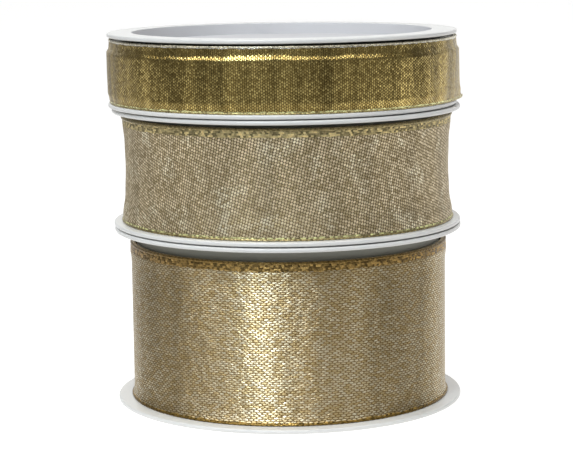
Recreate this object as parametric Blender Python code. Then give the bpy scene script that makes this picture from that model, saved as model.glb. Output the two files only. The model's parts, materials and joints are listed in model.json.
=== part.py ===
"""Three ribbon spools of 38, 25 and 15 mm ribbon, standing one on another.

Units are metres, +Z is up, and the stack stands on z = 0 with the lowest spool's axis on x = y = 0.
The spools are made alike. Two equal flanges snap into a core tube, the wired ribbon is wound on the
core, a strip of tape holds its inner end, and its outer end is a loose tail.
"""

import math
from typing import NamedTuple

import bmesh
import bpy
from mathutils import Matrix, Vector

MM = 0.001

# Flange: a flat rim around a recessed web, with a wall between them and a plug below.
FLANGE_RADIUS = 42.0 * MM
RIM_WIDTH = 6.0 * MM
RIM_THICKNESS = 1.0 * MM
RIM_ROUND = 0.3 * MM
RECESS_DEPTH = 2.8 * MM
RECESS_WALL = 0.8 * MM
RECESS_ROUND = 0.25 * MM
WEB_THICKNESS = 1.0 * MM
BORE_RADIUS = 8.0 * MM
PLUG_WALL = 0.85 * MM
PLUG_LENGTH = 3.5 * MM
BEAD_HEIGHT = 0.45 * MM
BEAD_SETBACK = 0.8 * MM
BEAD_FLANK = 0.8 * MM

# Core tube: its outside is level with the flange's recess wall.
CORE_WALL = 1.0 * MM

# Ribbon: the wire in each selvedge is drawn as one ring of its stacked turns.
WIRE_BAND = 0.5 * MM
TAIL_THICKNESS = 0.25 * MM
TAPE_THICKNESS = 0.1 * MM
TAPE_LENGTH = 20.0 * MM
TAPE_INSET = 2.0 * MM

# Clearances between neighbours.
PLUG_CLEARANCE = 0.25 * MM
GROOVE_CLEARANCE = 0.25 * MM
CORE_END_GAP = 0.3 * MM
STACK_GAP = 0.3 * MM
TAPE_GAP = 0.15 * MM
WINDING_GAP = 0.25 * MM
REST_GAP = 0.3 * MM
WIRE_GAP = 0.3 * MM
TAIL_GAP = 0.2 * MM

# Sizes that follow from the ones above.
RECESS_RADIUS = FLANGE_RADIUS - RIM_WIDTH
DRUM_RADIUS = RECESS_RADIUS + RECESS_WALL
CORE_BORE_RADIUS = DRUM_RADIUS - CORE_WALL
PLUG_RADIUS = CORE_BORE_RADIUS - PLUG_CLEARANCE
BEAD_RADIUS = PLUG_RADIUS + BEAD_HEIGHT
GROOVE_RADIUS = BEAD_RADIUS + GROOVE_CLEARANCE
WEB_INNER_FACE = RECESS_DEPTH + WEB_THICKNESS
PLUG_END = WEB_INNER_FACE + PLUG_LENGTH
BEAD_DEPTH = PLUG_END - BEAD_SETBACK
TAPE_RADIUS = DRUM_RADIUS + TAPE_GAP
WINDING_RADIUS = TAPE_RADIUS + TAPE_THICKNESS + WINDING_GAP

# Facets around each turned shape, and chords in each rounded corner.
FLANGE_FACETS = 56
REEL_FACETS = 40
ROUND_CHORDS = 2
STRIP_STEPS = 10
SMOOTH_BELOW = math.radians(50)


class Spool(NamedTuple):
    """What differs between the spools.

    The ribbon rests on the lower flange, and its headroom is the free height above it. The wound depth
    is the ribbon's own thickness on the core. Angles run anticlockwise from +X, seen from above.
    """

    name: str
    ribbon_width: float
    headroom: float
    wound_depth: float
    offset: Vector
    tail_end: float
    tail_length: float
    tail_lift: float
    cloth: tuple


WIDE = Spool(
    name="wide",
    ribbon_width=38.0 * MM,
    headroom=2.3 * MM,
    wound_depth=1.3 * MM,
    offset=Vector((0.0, 0.0)),
    tail_end=math.radians(125),
    tail_length=26.0 * MM,
    tail_lift=0.4 * MM,
    cloth=("champagne satin ribbon", (0.42, 0.34, 0.20), 0.35, 0.6),
)
MEDIUM = Spool(
    name="medium",
    ribbon_width=25.0 * MM,
    headroom=1.0 * MM,
    wound_depth=2.1 * MM,
    offset=Vector((-0.1, 0.1)) * MM,
    tail_end=math.radians(70),
    tail_length=26.0 * MM,
    tail_lift=0.4 * MM,
    cloth=("champagne lame ribbon", (0.38, 0.31, 0.20), 0.40, 0.6),
)
NARROW = Spool(
    name="narrow",
    ribbon_width=15.0 * MM,
    headroom=0.4 * MM,
    wound_depth=4.6 * MM,
    offset=Vector((-0.8, 0.0)) * MM,
    tail_end=math.radians(6),
    tail_length=28.0 * MM,
    tail_lift=1.6 * MM,
    cloth=("gold foil ribbon", (0.33, 0.25, 0.10), 0.30, 0.8),
)
STACK = (WIDE, MEDIUM, NARROW)


def clear_scene():
    for obj in list(bpy.data.objects):
        bpy.data.objects.remove(obj, do_unlink=True)


def material(name, colour, roughness, metallic=0.0):
    made = bpy.data.materials.new(name)
    made.use_nodes = True
    shader = made.node_tree.nodes["Principled BSDF"]
    shader.inputs["Base Color"].default_value = (*colour, 1.0)
    shader.inputs["Roughness"].default_value = roughness
    shader.inputs["Metallic"].default_value = metallic
    return made


def rounded_corner(before, corner, after, radius):
    """The points of an arc of this radius that replaces a corner."""
    back = (before - corner).normalized()
    ahead = (after - corner).normalized()
    half_angle = back.angle(ahead) / 2
    inward = (back + ahead).normalized()
    centre = corner + inward * radius / math.sin(half_angle)
    first = corner + back * radius / math.tan(half_angle) - centre
    sweep = math.pi - 2 * half_angle
    turn = 1 if back.cross(ahead) < 0 else -1
    steps = [sweep * turn * i / ROUND_CHORDS for i in range(ROUND_CHORDS + 1)]
    return [centre + Matrix.Rotation(step, 2) @ first for step in steps]


def outline(corners):
    """(radius, height) points of a closed outline, from (radius, height, round) corners."""
    places = [Vector(corner[:2]) for corner in corners]
    points = []
    for i, (place, corner) in enumerate(zip(places, corners)):
        if corner[2]:
            following = places[(i + 1) % len(places)]
            points += rounded_corner(places[i - 1], place, following, corner[2])
        else:
            points.append(place)
    return points


def finished_mesh(name, shape):
    bmesh.ops.recalc_face_normals(shape, faces=shape.faces)
    mesh = bpy.data.meshes.new(name)
    shape.to_mesh(mesh)
    shape.free()
    mesh.shade_smooth()
    mesh.set_sharp_from_angle(angle=SMOOTH_BELOW)
    return mesh


def turned_mesh(name, corners, facets):
    """A closed outline turned once around Z."""
    shape = bmesh.new()
    ring = [shape.verts.new((point.x, 0.0, point.y)) for point in outline(corners)]
    edges = [shape.edges.new(pair) for pair in zip(ring, ring[1:] + ring[:1])]
    bmesh.ops.spin(
        shape,
        geom=ring + edges,
        cent=(0.0, 0.0, 0.0),
        axis=(0.0, 0.0, 1.0),
        angle=math.tau,
        steps=facets,
        use_merge=True,
    )
    return finished_mesh(name, shape)


def strip_mesh(name, radius, thickness, length, lift, bottom, top, pivot=Vector((0.0, 0.0))):
    """A strip bent around Z. It ends on +X, begins clockwise of that, and lifts off towards its end."""
    span = length / radius
    inner = []
    outer = []
    for i in range(STRIP_STEPS + 1):
        along = i / STRIP_STEPS
        angle = span * (along - 1)
        near = radius + lift * along**2
        away = Vector((math.cos(angle), math.sin(angle)))
        inner.append(away * near - pivot)
        outer.append(away * (near + thickness) - pivot)
    shape = bmesh.new()
    corners = [shape.verts.new((*point, bottom)) for point in inner + outer[::-1]]
    face = shape.faces.new(corners)
    grown = bmesh.ops.extrude_face_region(shape, geom=[face])["geom"]
    raised = [item for item in grown if isinstance(item, bmesh.types.BMVert)]
    bmesh.ops.translate(shape, vec=(0.0, 0.0, top - bottom), verts=raised)
    return finished_mesh(name, shape)


def flange_mesh():
    """A flange with its outer face on z = 0 and its plug pointing up."""
    return turned_mesh(
        "flange",
        [
            (BORE_RADIUS, RECESS_DEPTH, 0),
            (RECESS_RADIUS, RECESS_DEPTH, 0),
            (RECESS_RADIUS, 0, RECESS_ROUND),
            (FLANGE_RADIUS, 0, RIM_ROUND),
            (FLANGE_RADIUS, RIM_THICKNESS, RIM_ROUND),
            (DRUM_RADIUS, RIM_THICKNESS, 0),
            (DRUM_RADIUS, WEB_INNER_FACE, 0),
            (PLUG_RADIUS, WEB_INNER_FACE, 0),
            (PLUG_RADIUS, BEAD_DEPTH - BEAD_FLANK, 0),
            (BEAD_RADIUS, BEAD_DEPTH, 0),
            (PLUG_RADIUS, PLUG_END, 0),
            (PLUG_RADIUS - PLUG_WALL, PLUG_END, 0),
            (PLUG_RADIUS - PLUG_WALL, WEB_INNER_FACE, 0),
            (BORE_RADIUS, WEB_INNER_FACE, 0),
        ],
        FLANGE_FACETS,
    )


def core_mesh(spool):
    """The core tube, with a groove near each end for the bead of that end's flange."""
    height = spool_height(spool)
    bottom = WEB_INNER_FACE + CORE_END_GAP
    low_groove = BEAD_DEPTH
    high_groove = height - BEAD_DEPTH
    half_mouth = BEAD_FLANK + GROOVE_CLEARANCE
    return turned_mesh(
        f"{spool.name}_core",
        [
            (CORE_BORE_RADIUS, bottom, 0),
            (DRUM_RADIUS, bottom, 0),
            (DRUM_RADIUS, height - bottom, 0),
            (CORE_BORE_RADIUS, height - bottom, 0),
            (CORE_BORE_RADIUS, high_groove + half_mouth, 0),
            (GROOVE_RADIUS, high_groove, 0),
            (CORE_BORE_RADIUS, high_groove - half_mouth, 0),
            (CORE_BORE_RADIUS, low_groove + half_mouth, 0),
            (GROOVE_RADIUS, low_groove, 0),
            (CORE_BORE_RADIUS, low_groove - half_mouth, 0),
        ],
        REEL_FACETS,
    )


def ring_mesh(name, inner_radius, outer_radius, bottom, top):
    corners = [
        (inner_radius, bottom, 0),
        (outer_radius, bottom, 0),
        (outer_radius, top, 0),
        (inner_radius, top, 0),
    ]
    return turned_mesh(name, corners, REEL_FACETS)


def spool_height(spool):
    return 2 * RIM_THICKNESS + REST_GAP + spool.ribbon_width + spool.headroom


def place(name, mesh, surface, parent, location=(0.0, 0.0, 0.0), rotation=(0.0, 0.0, 0.0)):
    obj = bpy.data.objects.new(name, mesh)
    bpy.context.scene.collection.objects.link(obj)
    obj.parent = parent
    obj.location = location
    obj.rotation_euler = rotation
    if not mesh.materials:
        mesh.materials.append(surface)
    return obj


def add_axis(spool, below, height):
    """The empty on a spool's own axis, at the height of its lower rim."""
    axis = bpy.data.objects.new(f"{spool.name}_axis", None)
    bpy.context.scene.collection.objects.link(axis)
    axis.location = (*spool.offset, height)
    axis.parent = below
    return axis


def add_reel(spool, axis, flange, plastic, board):
    """The two flanges and the core tube that they snap into."""
    place(f"{spool.name}_lower_flange", flange, plastic, axis)
    place(f"{spool.name}_core", core_mesh(spool), board, axis)
    place(
        f"{spool.name}_upper_flange",
        flange,
        plastic,
        axis,
        location=(0.0, 0.0, spool_height(spool)),
        rotation=(math.pi, 0.0, 0.0),
    )


def add_ribbon(spool, axis, cloth, wire, tape):
    """The wound ribbon with its two edge wires, its loose tail and the tape at its inner end."""
    bottom = RIM_THICKNESS + REST_GAP
    top = bottom + spool.ribbon_width
    tail_radius = WINDING_RADIUS + spool.wound_depth - TAIL_THICKNESS
    roll_radius = tail_radius - TAIL_GAP
    roll_bottom = bottom + WIRE_BAND + WIRE_GAP
    roll_top = top - WIRE_BAND - WIRE_GAP

    name = f"{spool.name}_ribbon_roll"
    place(name, ring_mesh(name, WINDING_RADIUS, roll_radius, roll_bottom, roll_top), cloth, axis)
    name = f"{spool.name}_lower_wire"
    place(name, ring_mesh(name, WINDING_RADIUS, roll_radius, bottom, bottom + WIRE_BAND), wire, axis)
    name = f"{spool.name}_upper_wire"
    place(name, ring_mesh(name, WINDING_RADIUS, roll_radius, top - WIRE_BAND, top), wire, axis)

    name = f"{spool.name}_core_tape"
    inset = TAPE_INSET + WEB_INNER_FACE
    mesh = strip_mesh(
        name, TAPE_RADIUS, TAPE_THICKNESS, TAPE_LENGTH, 0.0, inset, spool_height(spool) - inset
    )
    place(name, mesh, tape, axis)

    name = f"{spool.name}_tail"
    root_angle = -spool.tail_length / tail_radius
    pivot = Vector((math.cos(root_angle), math.sin(root_angle))) * tail_radius
    mesh = strip_mesh(
        name, tail_radius, TAIL_THICKNESS, spool.tail_length, spool.tail_lift, bottom, top, pivot
    )
    hinge = Matrix.Rotation(spool.tail_end, 2) @ pivot
    place(name, mesh, cloth, axis, location=(*hinge, 0.0), rotation=(0.0, 0.0, spool.tail_end))


def main():
    clear_scene()
    plastic = material("white plastic", (0.78, 0.79, 0.78), 0.35)
    board = material("core plastic", (0.70, 0.71, 0.70), 0.5)
    wire = material("edge wire", (0.60, 0.47, 0.24), 0.35, 1.0)
    tape = material("paper tape", (0.75, 0.68, 0.50), 0.8)
    flange = flange_mesh()
    axis = None
    height = 0.0
    for spool in STACK:
        axis = add_axis(spool, axis, height)
        add_reel(spool, axis, flange, plastic, board)
        add_ribbon(spool, axis, material(*spool.cloth), wire, tape)
        height = spool_height(spool) + STACK_GAP


if __name__ == "__main__":
    main()
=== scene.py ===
"""Gift ribbon on a stack of three plastic spools: the flanges, the wound ribbons with their wired edges,
their loose tails and a pale studio around them.

Every piece is made at its place around the packed solids, in metres, with +Z up.
"""

import json
import math

import bmesh
import bpy
import numpy as np
from bpy.props import BoolProperty, FloatProperty, FloatVectorProperty, IntProperty, PointerProperty
from mathutils import Matrix, Vector


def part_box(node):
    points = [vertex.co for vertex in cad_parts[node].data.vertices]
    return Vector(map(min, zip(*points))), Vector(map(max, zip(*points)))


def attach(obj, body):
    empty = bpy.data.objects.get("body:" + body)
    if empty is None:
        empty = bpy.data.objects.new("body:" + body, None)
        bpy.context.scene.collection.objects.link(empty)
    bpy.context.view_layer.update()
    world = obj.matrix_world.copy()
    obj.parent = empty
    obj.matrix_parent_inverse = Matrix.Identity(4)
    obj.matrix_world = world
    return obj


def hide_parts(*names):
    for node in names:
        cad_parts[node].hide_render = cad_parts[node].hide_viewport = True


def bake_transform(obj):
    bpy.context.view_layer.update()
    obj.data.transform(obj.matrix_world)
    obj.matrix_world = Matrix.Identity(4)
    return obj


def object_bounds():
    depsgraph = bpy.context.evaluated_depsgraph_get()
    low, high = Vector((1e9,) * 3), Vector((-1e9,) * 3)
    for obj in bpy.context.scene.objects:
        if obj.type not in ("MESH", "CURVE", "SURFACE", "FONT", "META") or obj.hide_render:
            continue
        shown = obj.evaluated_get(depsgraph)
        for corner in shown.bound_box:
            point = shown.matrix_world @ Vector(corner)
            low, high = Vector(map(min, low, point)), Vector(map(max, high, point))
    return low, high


bl_info = {
    "name": "Ribbon spool stack",
    "version": (1, 0, 0),
    "blender": (4, 5, 0),
    "location": "View3D > Sidebar > Ribbon spools",
    "description": "Makes three spools of gift ribbon and their studio around the packed solids",
    "category": "Object",
}

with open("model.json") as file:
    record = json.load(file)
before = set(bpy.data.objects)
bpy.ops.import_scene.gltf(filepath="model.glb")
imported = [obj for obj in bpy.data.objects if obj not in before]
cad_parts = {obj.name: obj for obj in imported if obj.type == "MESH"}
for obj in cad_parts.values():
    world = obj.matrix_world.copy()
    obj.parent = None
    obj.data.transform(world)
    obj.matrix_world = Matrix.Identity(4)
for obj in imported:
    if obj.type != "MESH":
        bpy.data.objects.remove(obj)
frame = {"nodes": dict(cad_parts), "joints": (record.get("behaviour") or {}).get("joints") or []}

MM = 0.001
SPOOL_NAMES = ("wide", "medium", "narrow")
WEAVE_UV = "Weave"


def box_lists():
    return [list(corner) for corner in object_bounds()]


CAD_BOX = box_lists()
STACK_HEIGHT = CAD_BOX[1][2] - CAD_BOX[0][2]


def linear(hex_colour):
    """An sRGB hex colour as linear red, green and blue."""
    shares = [int(hex_colour[i : i + 2], 16) / 255 for i in (1, 3, 5)]
    return tuple(s / 12.92 if s <= 0.04045 else ((s + 0.055) / 1.055) ** 2.4 for s in shares)


# ---------------------------------------------------------------- places read from the frame


def radius_range(node, axis):
    """The nearest and furthest distance of a node's points from an upright axis."""
    points = np.array([v.co[:2] for v in frame["nodes"][node].data.vertices])
    far = np.hypot(*(points - np.array(axis)).T)
    return float(far.min()), float(far.max())


class SpoolPlace:
    """Where one spool, its ribbon and its loose tail lie, in metres and radians.

    Angles run anticlockwise from +X, seen from above, which is also the way the ribbon winds outward.
    """

    def __init__(self, name):
        self.name = name
        low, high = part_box(f"{name}_lower_flange")
        self.axis = Vector(((low.x + high.x) / 2, (low.y + high.y) / 2))
        self.flange_radius = (high.x - low.x) / 2
        self.base = low.z
        self.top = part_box(f"{name}_upper_flange")[1].z
        self.ribbon_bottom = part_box(f"{name}_lower_wire")[0].z
        self.ribbon_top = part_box(f"{name}_upper_wire")[1].z
        self.ribbon_width = self.ribbon_top - self.ribbon_bottom
        self.inner_radius, self.roll_radius = radius_range(f"{name}_ribbon_roll", self.axis)
        hinge = next(j for j in frame["joints"] if j["name"] == f"{name}_tail_peel")["pos_m"]
        self.root_angle = math.atan2(hinge[1] - self.axis.y, hinge[0] - self.axis.x)
        self.tail_radius = math.hypot(hinge[1] - self.axis.y, hinge[0] - self.axis.x)
        points = np.array([v.co[:2] for v in frame["nodes"][f"{name}_tail"].data.vertices])
        points = points - np.array(self.axis)
        past = (np.arctan2(points[:, 1], points[:, 0]) - self.root_angle + math.pi) % math.tau
        self.tail_sweep = float(past.max()) - math.pi
        self.tail_end_radius = float(np.hypot(*points.T).max())


# ---------------------------------------------------------------- settings


def length(label, description, millimetres, **more):
    return FloatProperty(
        name=label, description=description, default=millimetres * MM, unit="LENGTH", **more
    )


def colour(label, description, hex_colour):
    return FloatVectorProperty(
        name=label, description=description, default=linear(hex_colour), subtype="COLOR", size=3
    )


def share(label, description, value):
    return FloatProperty(
        name=label, description=description, default=value, min=0.0, max=1.0, subtype="FACTOR"
    )


class FlangeSettings(bpy.types.PropertyGroup):
    """Sizes and colours of the moulded flanges, which are all alike."""

    facets: IntProperty(name="Facets", description="Faces around a flange", default=160, min=24)
    rim_width: length("Rim width", "Flat rim outside the recess", 6.0)
    rim_thickness: length("Rim thickness", "Thickness of the rim", 1.0)
    rim_round: length("Rim rounding", "Radius of the rim's two outer edges", 0.4)
    recess_depth: length("Recess depth", "From the rim down to the web", 2.8)
    recess_wall: length("Recess wall", "Thickness of the wall around the recess", 0.8)
    recess_round: length("Recess rounding", "Radius of the recess's edge", 0.25)
    web_thickness: length("Web thickness", "Thickness of the floor of the recess", 1.0)
    bore_radius: length("Bore radius", "Radius of the hole in the middle", 8.0)
    plug_gap: length("Plug inset", "From the wall's outside in to the plug's outside", 1.25)
    plug_wall: length("Plug wall", "Thickness of the plug that snaps into the core", 0.85)
    plug_length: length("Plug length", "Length of the plug", 3.5)
    bead_height: length("Bead height", "How far the snap bead stands out of the plug", 0.45)
    bead_setback: length("Bead setback", "From the plug's end back to the bead's crest", 0.8)
    bead_flank: length("Bead flank", "Length of the bead's inner slope", 0.8)
    mark_depth: length("Gate mark height", "How far the gate mark stands off the recess wall", 0.12)
    mark_angle: FloatProperty(
        name="Gate mark angle",
        description="Where the gate mark sits around the flange, anticlockwise from +X",
        default=math.radians(82),
        subtype="ANGLE",
    )
    plastic: colour("Flange colour", "White polystyrene", "#D8D8D5")
    # Painted shade: the recess colour is greyer and bluer than the rim's, for the shade inside the recess.
    # Its duller roughness is the real finish.
    recess: colour("Recess colour", "Duller spark-eroded finish of the recess, darkened as painted shade", "#C8C8CA")
    # Painted shade: the groove colour greys the drum wall in the gap under the upper rim, where shade
    # falls.
    groove: colour("Groove colour", "Plastic painted grey for the shade under the rim", "#8E8E84")
    core: colour("Core colour", "Off-white plastic of the core tubes", "#D9D8D0")
    tape: colour("Tape colour", "Paper tape that holds the ribbon's inner end", "#D8C9A0")


def ribbon_settings(label, sizes, colours, gloss):
    """A PropertyGroup class for one ribbon, with that ribbon's own defaults."""
    fields = {
        "turns": FloatProperty(
            name="Turns", description="Turns of ribbon on the core", default=sizes["turns"], min=3.0
        ),
        "float_length": length(
            "Float length", "From one float to the next along its thread", sizes["float_length"]
        ),
        "row_pitch": length("Row pitch", "From one row of floats to the next", sizes["row_pitch"]),
        "row_shift": share(
            "Row shift", "How far each row is moved on, as a share of a float", sizes["row_shift"]
        ),
        "upright": BoolProperty(
            name="Upright floats", description="Floats run across the ribbon, not along it",
            default=sizes["upright"],
        ),
        "lean": share("Lean", "How far upright rows lean, as a share of their height", sizes["lean"]),
        "wobble": length("Wobble", "How far the threads wander from their rows", sizes["wobble"]),
        "upper_selvedge": length(
            "Upper selvedge", "Width of the overcast upper edge", sizes["upper_selvedge"]
        ),
        "lower_selvedge": length(
            "Lower selvedge", "Width of the overcast lower edge", sizes["lower_selvedge"]
        ),
        "upper_cord": length("Upper cord", "Radius of the upper wired edge cord", sizes["upper_cord"]),
        "lower_cord": length("Lower cord", "Radius of the lower wired edge cord", sizes["lower_cord"]),
        "cord_lay": length("Edge cord lay", "Length of one stitch of the edge cord", sizes["cord_lay"]),
        "slack": length("Slack", "How far the upper edge sags below its full width", sizes["slack"]),
        "wave": length("Wave height", "How far the outer turn waves in and out", sizes["wave"]),
        # Painted light and shade: floats are mixed at random between these lit and shaded copies of the
        # film's colour.
        "light": colour("Light floats", "Floats painted lit, mixed at random", colours[0]),
        "dark": colour("Dark floats", "Floats painted in shade, mixed at random", colours[1]),
        "ground": colour("Ground", "Threads that show between the floats", colours[2]),
        "upper_edge": colour("Upper edge", "Thread that overcasts the upper edge", colours[3]),
        "lower_edge": colour("Lower edge", "Thread that overcasts the lower edge", colours[4]),
        "roughness": share("Roughness", "Roughness of the metallised floats", gloss["roughness"]),
        "metallic": share("Metallic", "How metallic the floats are", gloss["metallic"]),
        "brushed": share("Brushed", "How far highlights stretch across the ribbon", gloss["brushed"]),
        "tilt": share("Float tilt", "How unevenly the floats lie", gloss["tilt"]),
        "lap": FloatProperty(
            name="Lap", description="How far each float leans back over the one above, in float tilts",
            default=gloss["lap"],
        ),
        "streaks": share("Streaks", "How strongly painted reflections band the ribbon upright", gloss["streaks"]),
        "patches": share(
            "Patches", "How strongly patches of painted glint lighten the floats", gloss["patches"]
        ),
    }
    made = type(f"{label}RibbonSettings", (bpy.types.PropertyGroup,), {"__annotations__": fields})
    made.__doc__ = f"Sizes and colours of the {label.lower()} ribbon."
    return made


WideRibbonSettings = ribbon_settings(
    "Wide",
    {
        "turns": 11.0, "float_length": 1.3, "row_pitch": 0.51, "row_shift": 0.5, "upright": False,
        "lean": 0.0, "wobble": 0.16, "upper_selvedge": 2.1, "lower_selvedge": 0.7,
        "upper_cord": 0.3, "lower_cord": 0.2, "cord_lay": 1.3, "slack": 0.45,
        "wave": 0.05,
    },
    ("#DAD0B2", "#BEA97A", "#7E6234", "#8C7344", "#9C8148"),
    {
        "roughness": 0.37, "metallic": 0.95, "brushed": 0.75, "tilt": 0.26, "lap": 3.3, "streaks": 0.1,
        "patches": 0.0,
    },
)
MediumRibbonSettings = ribbon_settings(
    "Medium",
    {
        "turns": 11.0, "float_length": 0.66, "row_pitch": 0.66, "row_shift": 0.33, "upright": True,
        "lean": 0.2, "wobble": 0.1, "upper_selvedge": 2.0, "lower_selvedge": 0.8,
        "upper_cord": 0.26, "lower_cord": 0.22, "cord_lay": 1.2, "slack": 0.0,
        "wave": 0.12,
    },
    ("#EAD9B6", "#B09E78", "#645538", "#A8996E", "#C8B684"),
    {
        "roughness": 0.45, "metallic": 0.75, "brushed": 0.0, "tilt": 0.55, "lap": 0.0, "streaks": 0.12,
        "patches": 0.8,
    },
)
NarrowRibbonSettings = ribbon_settings(
    "Narrow",
    {
        "turns": 11.0, "float_length": 0.66, "row_pitch": 0.5, "row_shift": 0.5, "upright": True,
        "lean": 0.0, "wobble": 0.08, "upper_selvedge": 0.5, "lower_selvedge": 0.6,
        "upper_cord": 0.2, "lower_cord": 0.16, "cord_lay": 1.1, "slack": 0.15,
        "wave": 0.35,
    },
    ("#DEC67E", "#BAA05E", "#382C10", "#F6EFD6", "#D0BE84"),
    {
        "roughness": 0.24, "metallic": 1.0, "brushed": 0.0, "tilt": 0.6, "lap": 0.0, "streaks": 0.36,
        "patches": 0.0,
    },
)


class StageSettings(bpy.types.PropertyGroup):
    """The camera, the lights and the floor."""

    camera_distance: length("Camera distance", "From the stack's axis to the camera", 482.0)
    camera_height: length("Camera height", "Height of the camera above the floor", 113.8)
    camera_side: length("Camera side step", "How far the camera stands to the right", -0.33)
    aim_height: length("Aim height", "Height on the stack's axis that the camera looks at", 40.72)
    roll: FloatProperty(
        name="Camera roll", description="Turn of the camera about its own line of sight",
        default=math.radians(-0.74), subtype="ANGLE",
    )
    lens: FloatProperty(
        name="Focal length", description="Focal length in millimetres", default=125.5, min=10.0
    )
    floor_half: length("Floor half width", "Half the width of the floor", 3000.0)
    floor: colour("Floor colour", "The floor around the stack", "#A3A2A0")
    floor_front: colour("Front floor colour", "The floor between the camera and the stack", "#B4B3B0")
    glow: share("Table glow", "How brightly the floor is lit from below", 0.86)
    surround: colour("Surround colour", "The pale room around the stack", "#FFFFFF")


# ---------------------------------------------------------------- materials


def add_node(tree, kind, inputs=None, **settings):
    """Adds a node with these settings. An input's value is a socket to link from, or its own value."""
    node = tree.nodes.new(kind)
    for key, value in settings.items():
        setattr(node, key, value)
    for key, value in (inputs or {}).items():
        if isinstance(value, bpy.types.NodeSocket):
            tree.links.new(value, node.inputs[key])
        else:
            node.inputs[key].default_value = value
    return node


def new_material(name):
    """An empty material and its node tree."""
    made = bpy.data.materials.new(name)
    made.use_nodes = True
    made.node_tree.nodes.clear()
    return made, made.node_tree


def finish_material(tree, shader):
    add_node(tree, "ShaderNodeOutputMaterial", {"Surface": shader.outputs["BSDF"]})


def rgba(rgb):
    return (*rgb, 1.0)


POLYSTYRENE_IOR = 1.59
PEEL_DEPTH = 0.02 * MM
CLOUD_SIZE = 14.0 * MM
# How the clouds shade the plastic, and how far they move its roughness down and up.
CLOUD_SHADE = 0.95
CLOUD_GLOSS = (-0.05, 0.07)


def moulded_plastic(name, rgb, roughness, grain_mm):
    """Injection-moulded polystyrene: an even, slightly cloudy gloss over a faint orange-peel surface."""
    made, tree = new_material(name)
    place = add_node(tree, "ShaderNodeTexCoord").outputs["Object"]
    peel = add_node(
        tree, "ShaderNodeTexNoise", {"Vector": place, "Scale": 1 / (grain_mm * MM), "Detail": 3.0}
    )
    cloud = add_node(
        tree, "ShaderNodeTexNoise", {"Vector": place, "Scale": 1 / CLOUD_SIZE, "Detail": 2.0}
    )
    shade = add_node(
        tree, "ShaderNodeMix",
        {0: cloud.outputs["Fac"], 6: rgba([c * CLOUD_SHADE for c in rgb]), 7: rgba(rgb)},
        data_type="RGBA",
    )
    gloss = add_node(
        tree, "ShaderNodeMapRange",
        {
            "Value": cloud.outputs["Fac"],
            "To Min": roughness + CLOUD_GLOSS[0],
            "To Max": roughness + CLOUD_GLOSS[1],
        },
    )
    bump = add_node(
        tree, "ShaderNodeBump",
        {"Height": peel.outputs["Fac"], "Strength": 0.25, "Distance": PEEL_DEPTH},
    )
    shader = add_node(
        tree, "ShaderNodeBsdfPrincipled",
        {
            "Base Color": shade.outputs[2],
            "Roughness": gloss.outputs["Result"],
            "IOR": POLYSTYRENE_IOR,
            "Normal": bump.outputs["Normal"],
        },
    )
    finish_material(tree, shader)
    return made


CREPE_SIZE = 0.6 * MM
CREPE_DEPTH = 0.05 * MM
CREPE_SHADE = 0.8


def paper_tape(name, rgb):
    """Creped masking tape: matt paper, finely wrinkled across its length."""
    made, tree = new_material(name)
    place = add_node(tree, "ShaderNodeTexCoord").outputs["Object"]
    crepe = add_node(
        tree, "ShaderNodeTexNoise", {"Vector": place, "Scale": 1 / CREPE_SIZE, "Detail": 4.0}
    )
    shade = add_node(
        tree, "ShaderNodeMix",
        {0: crepe.outputs["Fac"], 6: rgba([c * CREPE_SHADE for c in rgb]), 7: rgba(rgb)},
        data_type="RGBA",
    )
    bump = add_node(
        tree, "ShaderNodeBump",
        {"Height": crepe.outputs["Fac"], "Strength": 0.6, "Distance": CREPE_DEPTH},
    )
    shader = add_node(
        tree, "ShaderNodeBsdfPrincipled",
        {"Base Color": shade.outputs[2], "Roughness": 0.85, "Normal": bump.outputs["Normal"]},
    )
    finish_material(tree, shader)
    return made


# The ribbons' UV maps are in millimetres, so these scales are per millimetre of ribbon.
DRIFTS_PER_MM = 0.45
STREAKS_PER_MM = (0.2, 0.02, 1.0)
PATCHES_PER_MM = 0.13

# A noise seldom strays far from its middle, so the drift is raised to reach the full wobble.
DRIFT_GAIN = 4
# Between these values a noise does nearly all its changing.
NOISE_SPAN = (0.35, 0.65)
# The highest part of the noise, where patches of painted glint lighten the floats.
GLINT_SPAN = (0.52, 0.7)


def wandering_threads(tree, uv, wobble_m):
    """The ribbon's own coordinates, with the threads wandering a little from their rows."""
    reach = DRIFT_GAIN * wobble_m / MM
    drift = add_node(
        tree, "ShaderNodeTexNoise", {"Vector": uv, "Scale": DRIFTS_PER_MM, "Detail": 2.0},
        noise_dimensions="2D",
    )
    centred = add_node(
        tree, "ShaderNodeVectorMath", {0: drift.outputs["Color"], 1: (0.5, 0.5, 0.5)},
        operation="SUBTRACT",
    )
    moved = add_node(
        tree, "ShaderNodeVectorMath",
        {0: centred.outputs["Vector"], 1: (reach, reach, 0.0), 2: uv},
        operation="MULTIPLY_ADD",
    )
    return moved.outputs["Vector"]


def across_the_ribbon(tree, uv, lean):
    """Coordinates turned so that rows of floats stand across the ribbon and lean along it."""
    parts = add_node(tree, "ShaderNodeSeparateXYZ", {"Vector": uv})
    leaning = add_node(
        tree, "ShaderNodeMath", {0: parts.outputs["Y"], 1: -lean, 2: parts.outputs["X"]},
        operation="MULTIPLY_ADD",
    )
    turned = add_node(
        tree, "ShaderNodeCombineXYZ", {"X": parts.outputs["Y"], "Y": leaning.outputs["Value"]}
    )
    return turned.outputs["Vector"]


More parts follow.
